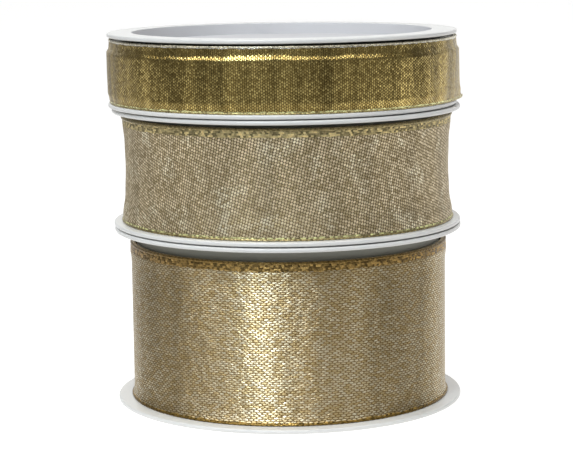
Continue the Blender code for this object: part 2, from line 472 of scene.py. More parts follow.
def float_lattice(tree, uv, length_m, pitch_m, shift):
    """Rows of floats, each row moved on by a share of a float.

    Returns the place within a float, from -0.5 to 0.5 each way, and a random colour and value for it.
    """
    scaled = add_node(
        tree, "ShaderNodeVectorMath",
        {0: uv, 1: (MM / length_m, MM / pitch_m, 1.0)},
        operation="MULTIPLY",
    )
    row = add_node(
        tree, "ShaderNodeVectorMath", {0: scaled.outputs["Vector"]}, operation="FLOOR"
    )
    row_number = add_node(tree, "ShaderNodeSeparateXYZ", {"Vector": row.outputs["Vector"]})
    moved = add_node(
        tree, "ShaderNodeMath", {0: row_number.outputs["Y"], 1: shift}, operation="MULTIPLY"
    )
    sideways = add_node(tree, "ShaderNodeCombineXYZ", {"X": moved.outputs["Value"]})
    place = add_node(
        tree, "ShaderNodeVectorMath",
        {0: scaled.outputs["Vector"], 1: sideways.outputs["Vector"]},
        operation="ADD",
    )
    cell = add_node(
        tree, "ShaderNodeVectorMath", {0: place.outputs["Vector"]}, operation="FLOOR"
    )
    chance = add_node(
        tree, "ShaderNodeTexWhiteNoise", {"Vector": cell.outputs["Vector"]}, noise_dimensions="2D"
    )
    within = add_node(
        tree, "ShaderNodeVectorMath", {0: place.outputs["Vector"]}, operation="FRACTION"
    )
    centred = add_node(
        tree, "ShaderNodeVectorMath",
        {0: within.outputs["Vector"], 1: (0.5, 0.5, 0.0)},
        operation="SUBTRACT",
    )
    return centred.outputs["Vector"], chance.outputs["Color"], chance.outputs["Value"]


CROWN_HEIGHT = 1.2


def float_height(tree, centred, chance, tilt, lap=0.0):
    """A crowned float that leans its own way, and back by its lap: the height that the bump reads."""
    lean = add_node(
        tree, "ShaderNodeVectorMath", {0: chance, 1: (0.5, 0.5 + lap, 0.5)}, operation="SUBTRACT"
    )
    slope = add_node(
        tree, "ShaderNodeVectorMath", {0: centred, 1: lean.outputs["Vector"]},
        operation="DOT_PRODUCT",
    )
    crown = add_node(
        tree, "ShaderNodeVectorMath", {0: centred, 1: centred}, operation="DOT_PRODUCT"
    )
    leaning = add_node(
        tree, "ShaderNodeMath", {0: slope.outputs["Value"], 1: 2.0 * tilt}, operation="MULTIPLY"
    )
    height = add_node(
        tree, "ShaderNodeMath",
        {0: crown.outputs["Value"], 1: -CROWN_HEIGHT, 2: leaning.outputs["Value"]},
        operation="MULTIPLY_ADD",
    )
    return height.outputs["Value"]


def mix_colours(tree, share_of_second, first, second):
    """Colours mixed by a share, which may be a socket or a number."""
    mixed = add_node(
        tree, "ShaderNodeMix", {0: share_of_second, 6: first, 7: second}, data_type="RGBA"
    )
    return mixed.outputs[2]


STITCH_LENGTH = 0.6 * MM
STITCH_PITCH = 0.42 * MM
STITCH_SHIFT = 0.4
# The dullest and the brightest stitch, as shares of the thread's colour, and how rare bright ones are.
# Stitch tones vary at random, and the near-white brightest ones are painted glints.
DULL_STITCH = 0.42
GLINT_STITCH = 2.2
STITCH_RARITY = 1.6


def overcast_edge(tree, uv, rgb, low_mm, high_mm):
    """Stitches of spun thread between two heights: their colour, their relief and where they are."""
    place, chance, value = float_lattice(tree, uv, STITCH_LENGTH, STITCH_PITCH, STITCH_SHIFT)
    height = float_height(tree, place, chance, 1.0)
    dull = rgba([c * DULL_STITCH for c in rgb])
    # Painted glint: the brightest stitches are lifted towards white.
    bright = rgba([min(1.0, c * GLINT_STITCH) for c in rgb])
    spread = add_node(tree, "ShaderNodeMath", {0: value, 1: STITCH_RARITY}, operation="POWER")
    thread = mix_colours(tree, spread.outputs["Value"], dull, bright)
    parts = add_node(tree, "ShaderNodeSeparateXYZ", {"Vector": uv})
    band = add_node(
        tree, "ShaderNodeMath",
        {0: parts.outputs["Y"], 1: (low_mm + high_mm) / 2, 2: (high_mm - low_mm) / 2},
        operation="COMPARE",
    )
    return thread, height, band.outputs["Value"]


# Painted glint: the pale colour that floats are lightened to in patches.
GLINT_FILM = linear("#FFF6D8")
# How far from a float's middle the ground starts to show, and where only the ground shows, in floats.
FLOAT_EDGE = (0.3, 0.56)
# How much rougher the spun ground is than the film.
ROUGHER_GROUND = 0.3
# How much of a streak's darkening its lighter side gains.
STREAK_GAIN = 0.5
# Turns the brushed highlight to run across the ribbon, as a share of a whole turn.
ACROSS = 0.25


def woven_ribbon(name, settings, width, weave_depth):
    """Lamé: metallised plastic film woven over a spun ground, so each flat float glints by itself.

    Real film threads are about 0.2 mm apart, too fine to show, so the floats are drawn two to
    six times as coarse.
    """
    made, tree = new_material(name)
    flat = add_node(tree, "ShaderNodeUVMap", uv_map=WEAVE_UV).outputs["UV"]
    uv = wandering_threads(tree, flat, settings.wobble)
    threads = across_the_ribbon(tree, uv, settings.lean) if settings.upright else uv
    centred, chance, value = float_lattice(
        tree, threads, settings.float_length, settings.row_pitch, settings.row_shift
    )
    height = float_height(tree, centred, chance, settings.tilt, settings.lap)
    distance = add_node(tree, "ShaderNodeVectorMath", {0: centred}, operation="LENGTH")
    gap = add_node(
        tree, "ShaderNodeMapRange",
        {"Value": distance.outputs["Value"], "From Min": FLOAT_EDGE[0], "From Max": FLOAT_EDGE[1]},
        interpolation_type="SMOOTHSTEP",
    )
    # Painted light and shade: each float takes a random mix of the shaded and the lit film colour.
    film = mix_colours(tree, value, rgba(settings.dark), rgba(settings.light))
    # Painted glint: in patches where a noise runs high, floats are lightened towards a pale film colour.
    glint_noise = add_node(
        tree, "ShaderNodeTexNoise", {"Vector": flat, "Scale": PATCHES_PER_MM, "Detail": 2.0},
        noise_dimensions="2D",
    )
    glint_share = add_node(
        tree, "ShaderNodeMapRange",
        {
            "Value": glint_noise.outputs["Fac"], "From Min": GLINT_SPAN[0],
            "From Max": GLINT_SPAN[1], "To Max": settings.patches,
        },
        interpolation_type="SMOOTHSTEP",
    )
    glinting_floats = add_node(
        tree, "ShaderNodeMath", {0: glint_share.outputs["Result"], 1: value}, operation="MULTIPLY"
    )
    film = mix_colours(tree, glinting_floats.outputs["Value"], film, rgba(GLINT_FILM))
    cloth = mix_colours(tree, gap.outputs["Result"], film, rgba(settings.ground))
    # Painted reflection: soft upright bands darken and lighten the cloth, standing for the room reflected
    # by waves in the outer turn.
    stretched = add_node(
        tree, "ShaderNodeVectorMath", {0: flat, 1: STREAKS_PER_MM}, operation="MULTIPLY"
    )
    streak = add_node(
        tree, "ShaderNodeTexNoise", {"Vector": stretched.outputs["Vector"], "Scale": 1.0, "Detail": 3.0},
        noise_dimensions="2D",
    )
    shown = add_node(
        tree, "ShaderNodeMapRange",
        {
            "Value": streak.outputs["Fac"], "From Min": NOISE_SPAN[0], "From Max": NOISE_SPAN[1],
            "To Min": 1 - settings.streaks, "To Max": 1 + STREAK_GAIN * settings.streaks,
        },
    )
    cloth = add_node(
        tree, "ShaderNodeVectorMath", {0: cloth, "Scale": shown.outputs["Result"]}, operation="SCALE"
    ).outputs["Vector"]
    shade, relief = cloth, height
    for rgb, low, high in (
        (settings.lower_edge, 0.0, settings.lower_selvedge),
        (settings.upper_edge, width - settings.upper_selvedge, width),
    ):
        thread, stitch_height, band = overcast_edge(tree, uv, rgb, low / MM, high / MM)
        shade = mix_colours(tree, band, shade, thread)
        relief = add_node(
            tree, "ShaderNodeMix", {0: band, 2: relief, 3: stitch_height}, data_type="FLOAT"
        ).outputs[0]
    bump = add_node(
        tree, "ShaderNodeBump",
        {"Height": relief, "Strength": 1.0, "Distance": weave_depth},
    )
    gloss = add_node(
        tree, "ShaderNodeMapRange",
        {
            "Value": gap.outputs["Result"],
            "To Min": settings.roughness,
            "To Max": settings.roughness + ROUGHER_GROUND,
        },
    )
    along = add_node(tree, "ShaderNodeTangent", direction_type="UV_MAP", uv_map=WEAVE_UV)
    shader = add_node(
        tree, "ShaderNodeBsdfPrincipled",
        {
            "Base Color": shade,
            "Metallic": settings.metallic,
            "Roughness": gloss.outputs["Result"],
            "Anisotropic": settings.brushed,
            "Anisotropic Rotation": ACROSS,
            "Tangent": along.outputs["Tangent"],
            "Normal": bump.outputs["Normal"],
        },
    )
    finish_material(tree, shader)
    return made


FLECK_SIZE = 0.5 * MM
FLECK_DEPTH = 0.06 * MM
# Painted shade: the dark flecks take the thread's colour at this share, for its shaded turns.
FLECK_PAINTED_SHADE = 0.35


def spun_thread(name, rgb):
    """Metallised thread spun round a fine wire: bright where the film lies flat, brown in its turns."""
    made, tree = new_material(name)
    place = add_node(tree, "ShaderNodeTexCoord").outputs["Object"]
    fleck = add_node(
        tree, "ShaderNodeTexNoise", {"Vector": place, "Scale": 1 / FLECK_SIZE, "Detail": 2.0}
    )
    spread = add_node(
        tree, "ShaderNodeMapRange",
        {"Value": fleck.outputs["Fac"], "From Min": NOISE_SPAN[0], "From Max": NOISE_SPAN[1]},
    )
    shade = add_node(
        tree, "ShaderNodeMix",
        {0: spread.outputs["Result"], 6: rgba([c * FLECK_PAINTED_SHADE for c in rgb]), 7: rgba(rgb)},
        data_type="RGBA",
    )
    bump = add_node(
        tree, "ShaderNodeBump",
        {"Height": fleck.outputs["Fac"], "Strength": 0.6, "Distance": FLECK_DEPTH},
    )
    shader = add_node(
        tree, "ShaderNodeBsdfPrincipled",
        {
            "Base Color": shade.outputs[2],
            "Metallic": 1.0,
            "Roughness": 0.3,
            "Normal": bump.outputs["Normal"],
        },
    )
    finish_material(tree, shader)
    return made


MOTTLE_SIZE = 60.0 * MM
MOTTLE_SHADE = 0.985
# The table is unlit in front of the first of these places on Y, and fully lit behind the second.
LIT_FROM = (-130 * MM, -72 * MM)
# It is masked on the left, along a line that slants outwards by this much for each metre back. The
# mask is full left of the first of these distances from the line and gone right of the second.
MASK_SLOPE = 0.143
MASK_EDGE = (-190 * MM, -90 * MM)
# The share of the glow that the mask lets through.
MASKED_GLOW = 0.45


def lit_acrylic(name, back_rgb, front_rgb, glow_rgb, glow):
    """Opal acrylic of a light table: lit from below around the stack, unlit and greyer in front of it."""
    made, tree = new_material(name)
    place = add_node(tree, "ShaderNodeTexCoord").outputs["Object"]
    mottle = add_node(
        tree, "ShaderNodeTexNoise", {"Vector": place, "Scale": 1 / MOTTLE_SIZE, "Detail": 2.0}
    )
    parts = add_node(tree, "ShaderNodeSeparateXYZ", {"Vector": place})
    lit = add_node(
        tree, "ShaderNodeMapRange",
        {"Value": parts.outputs["Y"], "From Min": LIT_FROM[0], "From Max": LIT_FROM[1]},
        interpolation_type="SMOOTHSTEP",
    )
    mottled_rgb = [c * MOTTLE_SHADE for c in back_rgb]
    pale = mix_colours(tree, mottle.outputs["Fac"], rgba(mottled_rgb), rgba(back_rgb))
    shade = mix_colours(tree, lit.outputs["Result"], rgba(front_rgb), pale)
    # The mask keeps the ribbons' left sides dark, because they reflect the table there.
    beside = add_node(
        tree, "ShaderNodeMath", {0: parts.outputs["Y"], 1: MASK_SLOPE, 2: parts.outputs["X"]},
        operation="MULTIPLY_ADD",
    )
    masked = add_node(
        tree, "ShaderNodeMapRange",
        {
            "Value": beside.outputs["Value"], "From Min": MASK_EDGE[0], "From Max": MASK_EDGE[1],
            "To Min": MASKED_GLOW * glow, "To Max": glow,
        },
        interpolation_type="SMOOTHSTEP",
    )
    strength = add_node(
        tree, "ShaderNodeMath", {0: lit.outputs["Result"], 1: masked.outputs["Result"]},
        operation="MULTIPLY",
    )
    shader = add_node(
        tree, "ShaderNodeBsdfPrincipled",
        {
            "Base Color": shade,
            "Roughness": 0.9,
            "Emission Color": rgba(glow_rgb),
            "Emission Strength": strength.outputs["Value"],
        },
    )
    finish_material(tree, shader)
    return made


# ---------------------------------------------------------------- mesh helpers


def deselect_all():
    if bpy.context.mode != "OBJECT":
        bpy.ops.object.mode_set(mode="OBJECT")
    bpy.ops.object.select_all(action="DESELECT")


def make_active(obj):
    deselect_all()
    obj.select_set(True)
    bpy.context.view_layer.objects.active = obj


def select_where(kind, test):
    """In edit mode, selects the faces, edges or vertices of the active mesh that pass the test."""
    mesh = bpy.context.edit_object.data
    shape = bmesh.from_edit_mesh(mesh)
    for group in (shape.verts, shape.edges, shape.faces):
        for item in group:
            item.select = False
    found = [item for item in getattr(shape, kind) if test(item)]
    if not found:
        raise RuntimeError(f"no {kind} found to select")
    for item in found:
        item.select_set(True)
    bmesh.update_edit_mesh(mesh)


def grid_mesh(name, points, u, v, closed_across=False):
    """A mesh of quads over a grid of points, with a UV map in millimetres. Rows run across."""
    columns, rows = points.shape[:2]
    index = np.arange(columns * rows).reshape(columns, rows)
    if closed_across:
        index = np.concatenate([index, index[:, :1]], axis=1)
    corners = np.stack([index[:-1, :-1], index[1:, :-1], index[1:, 1:], index[:-1, 1:]], axis=-1)
    mesh = bpy.data.meshes.new(name)
    mesh.from_pydata(points.reshape(-1, 3).tolist(), [], corners.reshape(-1, 4).tolist())
    layer = mesh.uv_layers.new(name=WEAVE_UV)
    steps = corners.shape[1]
    u_grid = np.repeat(u[:, None], steps + 1, axis=1)
    v_grid = np.repeat(v[None, :], columns, axis=0)
    flat = np.stack([u_grid, v_grid], axis=-1)
    around = np.stack([flat[:-1, :-1], flat[1:, :-1], flat[1:, 1:], flat[:-1, 1:]], axis=2)
    layer.data.foreach_set("uv", around.reshape(-1))
    mesh.shade_smooth()
    return mesh


def add_piece(name, mesh, surface=None):
    """An object for the mesh, with one material, or with the materials that the mesh already has."""
    obj = bpy.data.objects.new(name, mesh)
    bpy.context.scene.collection.objects.link(obj)
    if surface:
        obj.data.materials.append(surface)
    return obj


def give_thickness(obj, thickness):
    make_active(obj)
    wall = obj.modifiers.new("Thickness", "SOLIDIFY")
    wall.thickness = thickness
    wall.offset = 0.0
    bpy.ops.object.modifier_apply(modifier=wall.name)


# ---------------------------------------------------------------- the ribbon's shape


# How far each ribbon's outer turn stands out, in millimetres, at shares of its width from the bottom.
OUTER_PROFILES = {
    "wide": [(0.0, 0.55), (0.03, 0.15), (0.08, 0.0), (0.88, 0.0), (0.93, 0.3), (0.975, 0.25), (1.0, 0.0)],
    "medium": [(0.0, 1.1), (0.06, 0.95), (0.25, 0.25), (0.5, 0.0), (0.75, 0.15), (0.94, 0.6), (1.0, 0.75)],
    "narrow": [
        (0.0, -0.1), (0.05, 0.1), (0.16, 0.5), (0.5, 0.6),
        (0.79, 0.57), (0.86, 0.0), (0.93, -0.1), (1.0, -0.15),
    ],
}

# Waves of the outer turn: cycles in a turn, cycles up the width, where each begins, and its share.
WAVES = (
    (5, 0.3, 0.0, 0.3),
    (9, -0.4, 1.3, 0.2),
    (14, 0.7, 2.1, 0.24),
    (31, -0.05, 4.0, 0.2),
    (53, 0.1, 0.7, 0.06),
)


def smooth_profile(name, up):
    """The outer turn's profile at shares of the width, eased between its points."""
    places, outs = np.array(OUTER_PROFILES[name]).T
    i = np.clip(np.searchsorted(places, up, side="right") - 1, 0, len(places) - 2)
    t = np.clip((up - places[i]) / (places[i + 1] - places[i]), 0.0, 1.0)
    eased = t * t * (3 - 2 * t)
    return (outs[i] * (1 - eased) + outs[i + 1] * eased) * MM


def waviness(angle, up):
    """Waves from 0 to 1 over the outer turn."""
    total = sum(part * np.sin(k * angle + math.tau * c * up + start) for k, c, start, part in WAVES)
    return 0.5 + total / 2


# How much of the tail's lift each height takes: the narrow tail splays open towards its lower corner.
TAIL_SPREAD = {
    "wide": lambda up: 0.8 + 0.2 * up,
    "medium": lambda up: 1.0 - 0.2 * up,
    "narrow": lambda up: 0.1 + 1.1 * (1 - up) ** 7,
}

# How far the profile's shoulders wander up and down round a turn, as a share of the width.
SHOULDER_DRIFT = 0.3

# The cloth settles onto the flange below it.
SETTLE = 0.22 * MM

# The waves die away over this many turns beneath the outer one.
WAVING_TURNS = 1.6


class RibbonPath:
    """The spiral that a ribbon's middle surface follows, from the core out to the tail's end."""

    def __init__(self, place, settings):
        self.place = place
        self.settings = settings
        self.end_angle = place.root_angle + place.tail_sweep
        self.start_angle = place.root_angle - math.tau * settings.turns
        self.pitch = (place.roll_radius - place.inner_radius) / settings.turns
        self.first_radius = place.inner_radius + self.pitch / 2

    def radius(self, angle):
        return self.first_radius + self.pitch * (angle - self.start_angle) / math.tau

    def surface(self, angle, up):
        """Points of the ribbon at these angles, for these shares of its width from the bottom."""
        place = self.place
        angle, up = np.meshgrid(angle, up, indexing="ij")
        wound = np.clip((angle - self.start_angle) / (math.tau * self.settings.turns), 0.0, 1.0)
        outermost = np.clip(1 - (place.root_angle - angle) / (WAVING_TURNS * math.tau), 0.0, 1.0)
        drift = SHOULDER_DRIFT * (waviness(angle, 0.0) - 0.5) * up * (1 - up)
        out = smooth_profile(place.name, up + drift) * wound**2
        out = out + self.settings.wave * waviness(angle, up) * outermost**2
        past = np.clip((angle - place.root_angle) / place.tail_sweep, 0.0, 1.0)
        lift = place.tail_end_radius - place.tail_radius
        out = out + lift * past**2 * TAIL_SPREAD[place.name](up)
        radius = self.radius(angle) + out
        height = place.ribbon_width + SETTLE - self.settings.slack
        return np.stack(
            [
                place.axis.x + radius * np.cos(angle),
                place.axis.y + radius * np.sin(angle),
                place.ribbon_bottom - SETTLE + height * up,
            ],
            axis=-1,
        )

    def along(self, angle):
        """The length of ribbon from its inner end to these angles, in millimetres."""
        turned = angle - self.start_angle
        return (self.first_radius + self.pitch * turned / (2 * math.tau)) * turned / MM


SHEET_THICKNESS = 0.06 * MM
COARSE_STEPS = 96
FINE_STEPS = 400
FINE_TURNS = 1.3
TAIL_START = math.radians(4)
ROWS = np.array([0, 0.01, 0.02, 0.035, 0.05, 0.07, 0.1, 0.14, 0.16, 0.185, 0.21, 0.24, 0.33, 0.42, 0.5])
ROWS = np.concatenate([ROWS, 1 - ROWS[-2::-1]])


def spiral_angles(first, last, steps_in_turn):
    """Angles from first to last, on whole steps of a turn between them, so that turns line up."""
    step = math.tau / steps_in_turn
    inner = np.arange(math.floor(first / step) + 1, math.ceil(last / step)) * step
    return np.concatenate([[first], inner, [last]])


def ribbon_paths(context):
    for name in SPOOL_NAMES:
        yield RibbonPath(SpoolPlace(name), getattr(context.scene, f"{name}_ribbon"))


def sheet_piece(name, path, angles, surface):
    """One length of a ribbon as a thin closed sheet."""
    points = path.surface(angles, ROWS)
    mesh = grid_mesh(name, points, path.along(angles), ROWS * path.place.ribbon_width / MM)
    obj = add_piece(name, mesh, surface)
    give_thickness(obj, SHEET_THICKNESS)
    return obj


CORD_SIDES = 10
CORD_FLATNESS = 0.8
CORD_STEPS_IN_LAY = 7
# How many turns of the roll the cord is laid along.
CORD_TURNS = 1.05
# How far the cord sits in from the sheet's edge, and how far a ply stands out, in cord radii.
CORD_INSET = 0.9
PLY_HEIGHT = 0.22


def edge_cord(name, path, angles, upper, surface):
    """The overcast wire along one edge: a cord of two plies that turn round each other."""
    settings = path.settings
    cord_radius = settings.upper_cord if upper else settings.lower_cord
    up = 1.0 if upper else 0.0
    inward = -1.0 if upper else 1.0
    centre = path.surface(angles, np.array([up]))[:, 0]
    away = np.stack([np.cos(angles), np.sin(angles), np.zeros_like(angles)], axis=-1)
    centre = centre + np.array([0.0, 0.0, inward * cord_radius * CORD_INSET])
    lay = path.along(angles) * MM / settings.cord_lay * math.tau
    around = np.arange(CORD_SIDES) / CORD_SIDES * math.tau
    ply = 1 + PLY_HEIGHT * np.cos(2 * around[None, :] - lay[:, None])
    radius = cord_radius * ply
    points = (
        centre[:, None, :]
        + (radius * np.cos(around))[..., None] * away[:, None, :] * CORD_FLATNESS
        + (radius * np.sin(around))[..., None] * np.array([0.0, 0.0, 1.0])
    )
    v = np.arange(CORD_SIDES + 1) / CORD_SIDES * math.tau * cord_radius / MM
    mesh = grid_mesh(name, points, path.along(angles), v, closed_across=True)
    obj = add_piece(name, mesh, surface)
    close_ends(obj)
    return obj


def close_ends(obj):
    make_active(obj)
    bpy.ops.object.mode_set(mode="EDIT")
    bpy.ops.mesh.select_all(action="SELECT")
    bpy.ops.mesh.fill_holes(sides=CORD_SIDES)
    bpy.ops.mesh.normals_make_consistent(inside=False)
    bpy.ops.object.mode_set(mode="OBJECT")


# ---------------------------------------------------------------- operators


# Points nearer than this count as one.
MERGE_DISTANCE = 0.01 * MM
# How far a face's middle may lie from the wall that it belongs to.
FACE_SLACK = 0.06 * MM
MARK_BORDER = 0.42 * MM


class SPOOLS_OT_flanges(bpy.types.Operator):
    """Model one flange by extruding rings of edges, and copy it to both ends of each spool"""

    bl_idname = "spools.flanges"
    bl_label = "Make the flanges"

    def profile(self, sizes, radius):
        """(radius, height) corners of a flange with its outer face on z = 0 and its plug pointing up."""
        recess = radius - sizes.rim_width
        drum = recess + sizes.recess_wall
        web = sizes.recess_depth + sizes.web_thickness
        plug = drum - sizes.plug_gap
        plug_end = web + sizes.plug_length
        bead = plug_end - sizes.bead_setback
        return [
            (sizes.bore_radius, sizes.recess_depth),
            (recess, sizes.recess_depth),
            (recess, 0.0),
            (radius, 0.0),
            (radius, sizes.rim_thickness),
            (drum, sizes.rim_thickness),
            (drum, web),
            (plug, web),
            (plug, bead - sizes.bead_flank),
            (plug + sizes.bead_height, bead),
            (plug, plug_end),
            (plug - sizes.plug_wall, plug_end),
            (plug - sizes.plug_wall, web),
            (sizes.bore_radius, web),
        ]

    def bevel_rings(self, rings, offset):
        """Rounds the rings of edges at these (radius, height) corners."""

        def on_ring(edge):
            places = [(v.co.xy.length, v.co.z) for v in edge.verts]
            return any(
                all(math.dist(place, ring) < MERGE_DISTANCE for place in places) for ring in rings
            )

        select_where("edges", on_ring)
        bpy.ops.mesh.bevel(offset=offset, segments=4, profile=0.5)

    def execute(self, context):
        sizes = context.scene.flange
        places = [SpoolPlace(name) for name in SPOOL_NAMES]
        radius = places[0].flange_radius
        corners = self.profile(sizes, radius)
        deselect_all()
        bpy.ops.mesh.primitive_circle_add(
            vertices=sizes.facets, radius=corners[0][0], fill_type="NOTHING",
            location=(0.0, 0.0, 0.0), enter_editmode=True,
        )
        master = context.object
        origin = (0.0, 0.0, 0.0)
        bpy.ops.transform.translate(value=(0.0, 0.0, corners[0][1]))
        for before, after in zip(corners, corners[1:] + corners[:1]):
            bpy.ops.mesh.extrude_region_move()
            grow = after[0] / before[0]
            bpy.ops.transform.resize(value=(grow, grow, 1.0), center_override=origin)
            bpy.ops.transform.translate(value=(0.0, 0.0, after[1] - before[1]))
        bpy.ops.mesh.select_all(action="SELECT")
        bpy.ops.mesh.remove_doubles(threshold=MERGE_DISTANCE)
        bpy.ops.mesh.normals_make_consistent(inside=False)
        self.mark_gate(sizes, corners)
        self.bevel_rings([corners[3], corners[4]], sizes.rim_round)
        self.bevel_rings([corners[2]], sizes.recess_round)
        self.bevel_rings([corners[5]], sizes.recess_round)
        self.finish_faces(master, sizes, corners)
        bpy.ops.object.mode_set(mode="OBJECT")
        bpy.ops.object.transform_apply(location=True, rotation=True, scale=True)
        bpy.ops.object.shade_smooth_by_angle(angle=math.radians(32))
        for place in places:
            self.add_flange(master, place, "lower")
            self.add_flange(master, place, "upper")
        bpy.data.objects.remove(master, do_unlink=True)
        return {"FINISHED"}

    def finish_faces(self, master, sizes, corners):
        """Gives the rim, the recess and the groove behind the ribbon their own finishes."""
        recess, floor_height = corners[1]
        drum, web = corners[6]

        def in_recess(face):
            middle = face.calc_center_median()
            return middle.xy.length < recess + FACE_SLACK and middle.z < floor_height + FACE_SLACK

        def in_groove(face):
            middle = face.calc_center_median()
            on_drum = abs(middle.xy.length - drum) < FACE_SLACK
            return on_drum and sizes.rim_thickness < middle.z < web

        # Name, colour, roughness, size of the surface's grain in millimetres, and where it is.
        finishes = (
            ("moulded white polystyrene", sizes.plastic, 0.32, 1.2, None),
            # The recess colour is painted shade, and its higher roughness is the duller finish.
            ("spark-eroded white polystyrene", sizes.recess, 0.5, 0.5, in_recess),
            # The groove's grey is painted shade for the gap under the rim.
            ("dusty white polystyrene", sizes.groove, 0.6, 0.5, in_groove),
        )
        for number, (name, rgb, roughness, grain_mm, test) in enumerate(finishes):
            master.data.materials.append(moulded_plastic(name, rgb, roughness, grain_mm))
            if test:
                master.active_material_index = number
                select_where("faces", test)
                bpy.ops.object.material_slot_assign()

    def mark_gate(self, sizes, corners):
        """The stub where the plastic entered the mould, standing off the recess wall."""
        towards = Vector((math.cos(sizes.mark_angle), math.sin(sizes.mark_angle)))
        wall_radius = corners[1][0]
        span = math.tau / sizes.facets

        def on_mark(face):
            middle = face.calc_center_median()
            flat = middle.xy
            on_wall = abs(flat.length - wall_radius) < FACE_SLACK and middle.z < corners[1][1]
            return on_wall and flat.angle(towards) < span / 2

        select_where("faces", on_mark)
        bpy.ops.mesh.inset(thickness=MARK_BORDER, depth=sizes.mark_depth)

    def add_flange(self, master, place, end):
        node = f"{place.name}_{end}_flange"
        mesh = master.data.copy()
        if end == "upper":
            turn = Matrix.Translation((*place.axis, place.top)) @ Matrix.Rotation(math.pi, 4, "Y")
            mesh.transform(turn)
        else:
            mesh.transform(Matrix.Translation((*place.axis, place.base)))
        piece = add_piece(f"{node}_moulding", mesh)
        body = f"{place.name}_reel" if end == "upper" else f"{place.name}_base"
        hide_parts(node)
        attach(piece, body)


class SPOOLS_OT_cores(bpy.types.Operator):
    """Give the core tubes their plastic and the tapes their paper"""

    bl_idname = "spools.cores"
    bl_label = "Finish the cores and tapes"

    def execute(self, context):
        sizes = context.scene.flange
        tube = moulded_plastic("extruded off-white polystyrene", sizes.core, 0.45, 0.8)
        tape = paper_tape("creped paper tape", sizes.tape)
        for name in SPOOL_NAMES:
            for node, surface in ((f"{name}_core", tube), (f"{name}_core_tape", tape)):
                obj = frame["nodes"][node]
                obj.data.materials.clear()
                obj.data.materials.append(surface)
        return {"FINISHED"}


WEAVE_DEPTHS = {"wide": 0.1 * MM, "medium": 0.1 * MM, "narrow": 0.07 * MM}


def cloth_of(path):
    """The ribbon's own material, made once for its roll and its tail."""
    name = f"woven {path.place.name} lame ribbon"
    found = bpy.data.materials.get(name)
    return found or woven_ribbon(
        name, path.settings, path.place.ribbon_width, WEAVE_DEPTHS[path.place.name]
    )


def thread_of(path, end):
    name = f"spun {end} edge thread {path.place.name}"
    return bpy.data.materials.get(name) or spun_thread(name, getattr(path.settings, f"{end}_edge"))


class SPOOLS_OT_rolls(bpy.types.Operator):
    """Wind each ribbon on its core as one long sheet"""

    bl_idname = "spools.rolls"
    bl_label = "Wind the ribbons"

    def execute(self, context):
        for path in ribbon_paths(context):
            place = path.place
            name = place.name
            last = place.root_angle - TAIL_START
            fine = last - FINE_TURNS * math.tau
            angles = np.concatenate([
                spiral_angles(path.start_angle, fine, COARSE_STEPS)[:-1],
                spiral_angles(fine, last, FINE_STEPS),
            ])
            roll = sheet_piece(f"{name}_wound_ribbon", path, angles, cloth_of(path))
            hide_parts(f"{name}_ribbon_roll")
            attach(roll, f"{name}_reel")
            wound = path.along(last) * MM
        return {"FINISHED"}


def blend_over_hinge(piece, path):
    """The tail bends over a short stretch at its root and then swings with its own body."""
    place = path.place
    points = []
    for angle in (place.root_angle - TAIL_START, place.root_angle + 2 * TAIL_START):
        radius = place.tail_radius
        points.append((
            place.axis.x + radius * math.cos(angle),
            place.axis.y + radius * math.sin(angle),
            (place.ribbon_bottom + place.ribbon_top) / 2,
        ))
    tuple(points[0])
    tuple(points[1])
    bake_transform(piece)


class SPOOLS_OT_tails(bpy.types.Operator):
    """Carry each ribbon on over its last turn as a loose tail"""

    bl_idname = "spools.tails"
    bl_label = "Make the loose tails"

    def execute(self, context):
        for path in ribbon_paths(context):
            place = path.place
            name = place.name
            first = place.root_angle - TAIL_START
            angles = spiral_angles(first, path.end_angle, FINE_STEPS)
            tail = sheet_piece(f"{name}_loose_tail", path, angles, cloth_of(path))
            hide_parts(f"{name}_tail")
            blend_over_hinge(tail, path)
            cut = (path.along(path.end_angle) - path.along(first)) * MM
        return {"FINISHED"}


class SPOOLS_OT_edges(bpy.types.Operator):
    """Overcast the wired edges of the outer turns and of the tails"""

    bl_idname = "spools.edges"
    bl_label = "Twist the edge cords"

    def execute(self, context):
        for path in ribbon_paths(context):
            place = path.place
            name = place.name
            settings = path.settings
            step = settings.cord_lay / CORD_STEPS_IN_LAY / place.roll_radius
            first = place.root_angle - TAIL_START
            begin = first - CORD_TURNS * math.tau
            for end, upper in (("lower", False), ("upper", True)):
                rolled = np.linspace(begin, first, math.ceil((first - begin) / step))
                cord = edge_cord(f"{name}_{end}_edge_cord", path, rolled, upper, thread_of(path, end))
                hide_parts(f"{name}_{end}_wire")
                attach(cord, f"{name}_reel")
                loose = np.linspace(first, path.end_angle, math.ceil((path.end_angle - first) / step))
                cord = edge_cord(f"{name}_{end}_tail_cord", path, loose, upper, thread_of(path, end))
                blend_over_hinge(cord, path)
        return {"FINISHED"}


# The room is brightest behind the stack and this far round to its right.
ROOM_TURN = math.radians(10)
# The cosines of the angles from there at which the bright part begins and is at its full.
ROOM_EDGE = (0.55, 0.91)
# How bright the room is outside that part and inside it.
ROOM_BRIGHTNESS = (0.18, 1.1)

# Name, degrees round to the right of the camera's side, degrees up, metres away, sides in metres,
# watts and tint.
SOFTBOXES = (
    ("key softbox", -21.0, 36.0, 0.9, (0.12, 0.14), 2.15, "#DCEEFF"),
    ("overhead softbox", 0.0, 80.0, 0.9, (0.9, 0.9), 2.3, "#FFFBF6"),
    ("high strip", -12.0, 67.0, 0.8, (1.3, 0.1), 1.8, "#FFFFFF"),
    ("high left strip", -36.0, 50.0, 0.8, (1.1, 0.12), 3.4, "#FFFFFF"),
    ("side softbox", 62.0, 42.0, 1.0, (0.3, 0.3), 0.6, "#FFFFFF"),
)


